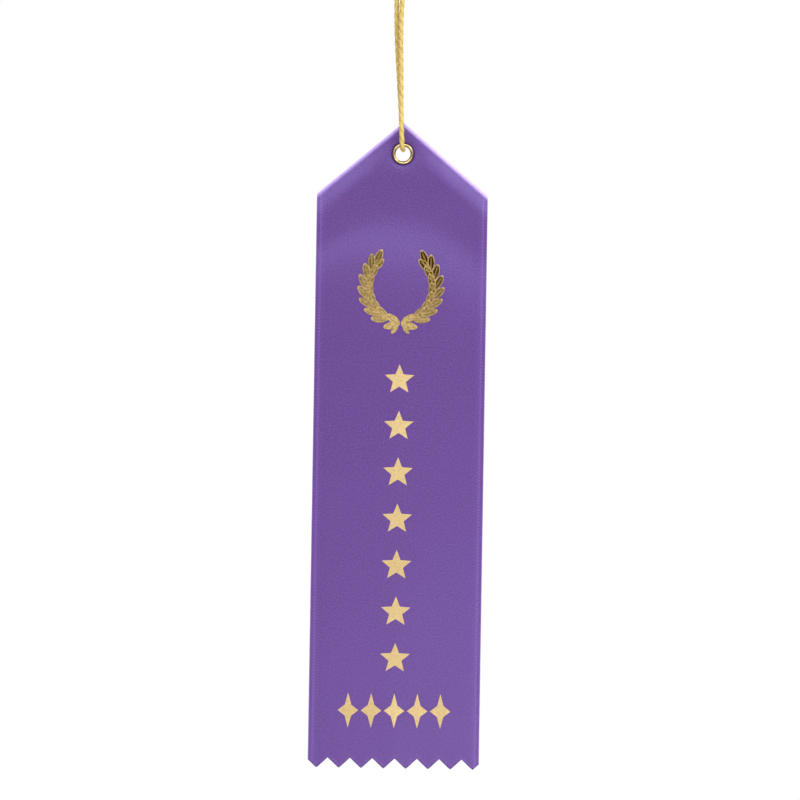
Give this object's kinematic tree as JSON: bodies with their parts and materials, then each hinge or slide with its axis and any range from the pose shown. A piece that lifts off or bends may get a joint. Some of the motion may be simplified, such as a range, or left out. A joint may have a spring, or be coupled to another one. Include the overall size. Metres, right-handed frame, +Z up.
{
  "type": "award ribbon",
  "caption": "Satin award ribbon with a folded peaked top, brass eyelet, hanging cord loop, backing card, foil laurel wreath and ornaments, and a pinked lower edge.",
  "frame": {"origin": "inside top of the cord loop, just under the knot, where a hook or pin carries the ribbon", "axes": "+Z up, +X to the right seen from the printed face, -Y out of the printed face"},
  "size_m": [0.0508, 0.0064, 0.2827],
  "materials": {
    "satin": "violet satin weave, soft sheen along the warp",
    "card": "uncoated off-white card stock",
    "eyelet_brass": "bright pale brass plate",
    "cord": "gold two-ply twisted rayon cord",
    "foil_bright": "hot-stamped gold foil, stippled by the weave",
    "foil_pale": "hot-stamped pale gold foil, near matte"
  },
  "bodies": {
    "hanger": {"cord_front_strand": "cord", "cord_bight": "cord", "cord_back_strand": "cord", "cord_knot": "cord", "cord_tail_left": "cord", "cord_tail_right": "cord"},
    "head": {"ribbon_head": "satin", "card_head": "card", "eyelet": "eyelet_brass", "wreath_left": "foil_bright", "wreath_right": "foil_bright"},
    "tail": {"ribbon_tail": "satin", "star_1": "foil_pale", "star_2": "foil_pale", "star_3": "foil_pale", "star_4": "foil_pale", "star_5": "foil_pale", "star_6": "foil_pale", "star_7": "foil_pale", "lozenge_1": "foil_pale", "lozenge_2": "foil_pale", "lozenge_3": "foil_pale", "lozenge_4": "foil_pale", "lozenge_5": "foil_pale"},
    "card": {"card_leaf": "card"}
  },
  "joints": [
    {"name": "ribbon_swing", "type": "hinge", "parent": "hanger", "child": "head", "pos_m": [0, 0, -0.08], "axis": [0, 1, 0], "range_deg": [-75, 75]},
    {"name": "tail_bend", "type": "hinge", "parent": "head", "child": "tail", "pos_m": [0, -0.00063, -0.13935], "axis": [-1, 0, 0], "range_deg": [0, 60]},
    {"name": "card_lift", "type": "hinge", "parent": "head", "child": "card", "pos_m": [0, 0, -0.09865], "axis": [1, 0, 0], "range_deg": [0, 40]}
  ]
}
